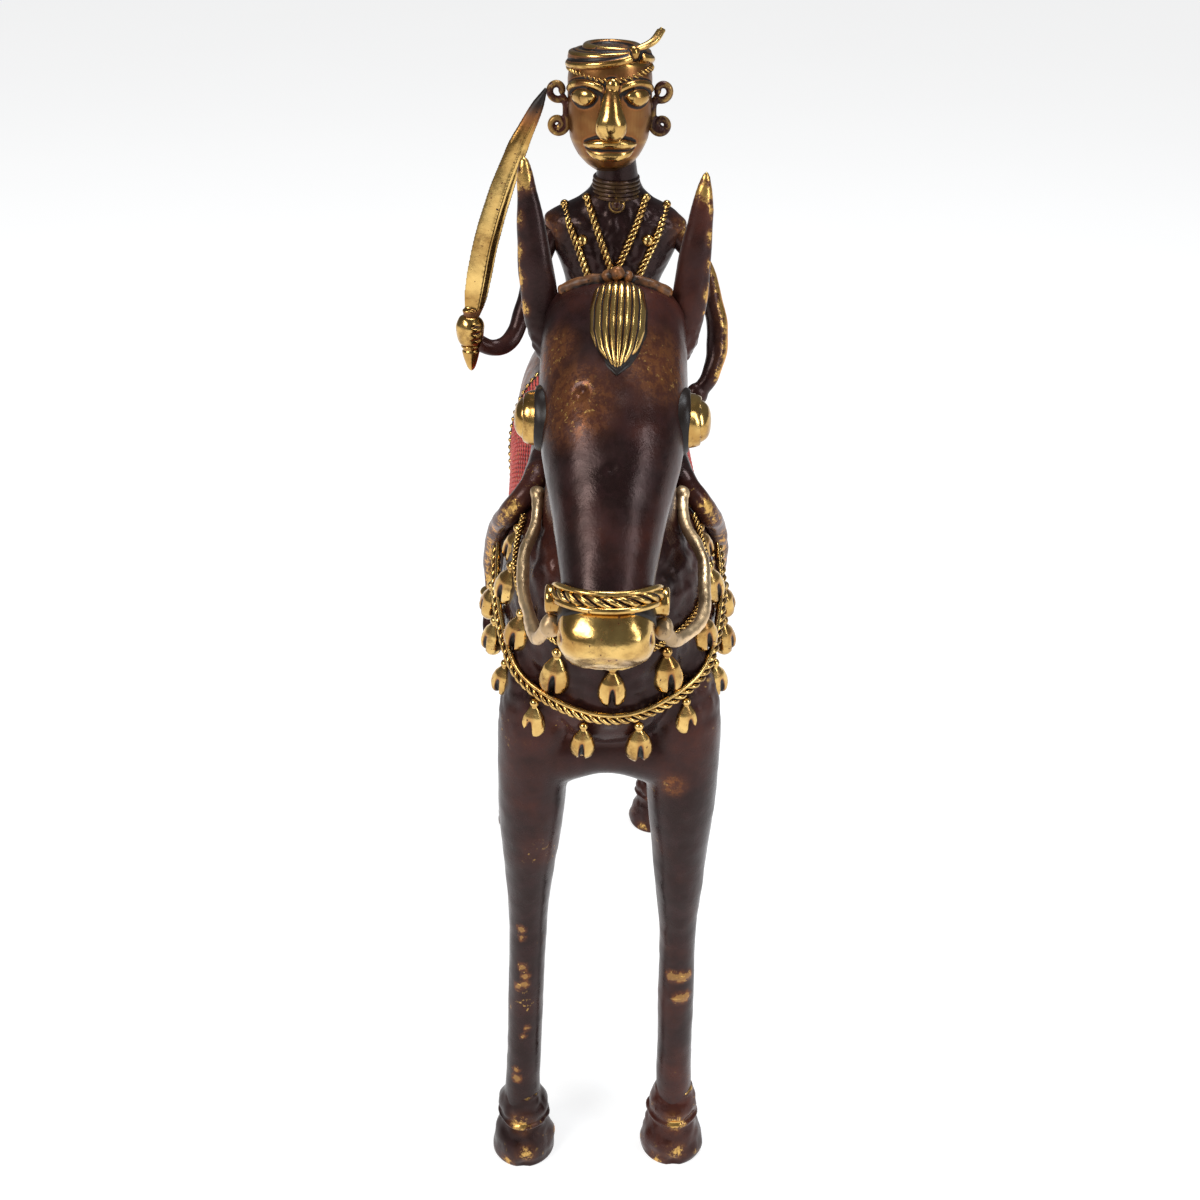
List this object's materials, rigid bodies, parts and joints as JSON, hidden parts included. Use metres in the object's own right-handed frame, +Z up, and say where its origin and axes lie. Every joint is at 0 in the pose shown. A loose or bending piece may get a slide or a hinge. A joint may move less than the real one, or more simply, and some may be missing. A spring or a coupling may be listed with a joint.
{
  "type": "horse and rider figurine",
  "caption": "Cast brass folk figurine of a standing horse in rope and cowrie trappings, with a turbaned rider who holds a curved sword and lifts off the horse's back.",
  "frame": {"origin": "on the floor, under the middle of the figurine's bounding box", "axes": "+Z up, the horse looks along -Y, its left side is +X"},
  "size_m": [0.0684, 0.2274, 0.2879],
  "materials": {
    "dark_brass": "glossy near-black brown patina, rubbed red-brown on the high parts",
    "bright_brass": "polished",
    "grey_brass": "dull, slightly tarnished",
    "red_paint": "matte brick-red paint on ribbed brass",
    "baked_clay": "rough fired core clay, hidden inside the trunk"
  },
  "bodies": {
    "horse": {"trunk": "dark_brass", "neck": "dark_brass", "ear_right": "dark_brass", "ear_left": "dark_brass", "horse_head": "dark_brass", "mane": "dark_brass", "leg_front_right": "dark_brass", "leg_front_left": "dark_brass", "leg_rear_right": "dark_brass", "leg_rear_left": "dark_brass", "hoof_front_right": "dark_brass", "hoof_front_left": "dark_brass", "hoof_rear_right": "dark_brass", "hoof_rear_left": "dark_brass", "tail": "dark_brass", "eye_right": "bright_brass", "eye_left": "bright_brass", "muzzle": "bright_brass", "crown_strap": "bright_brass", "forelock": "bright_brass", "cloth_border": "bright_brass", "noseband": "bright_brass", "breast_rope": "bright_brass", "breast_string": "bright_brass", "rein_right": "grey_brass", "rein_left": "grey_brass", "saddle_cloth": "red_paint", "clay_core": "baked_clay"},
    "rider": {"rider_torso": "dark_brass", "seat_peg": "dark_brass", "rider_head": "bright_brass", "turban": "bright_brass", "headband": "bright_brass", "neck_rings": "dark_brass", "rider_ear_right": "bright_brass", "rider_ear_left": "bright_brass", "inner_cord": "bright_brass", "outer_cord": "bright_brass", "pendant": "dark_brass", "sword_arm": "dark_brass", "rein_arm": "dark_brass", "sword_fist": "bright_brass", "sword": "bright_brass", "rider_leg_right": "dark_brass", "rider_leg_left": "dark_brass", "anklet_right": "bright_brass", "anklet_left": "bright_brass", "chest_stud_right": "bright_brass", "chest_stud_left": "bright_brass"}
  },
  "joints": [
    {"name": "rider_lift", "type": "slide", "parent": "horse", "child": "rider", "axis": [0, 0, 1], "range_m": [0, 0.07]}
  ]
}
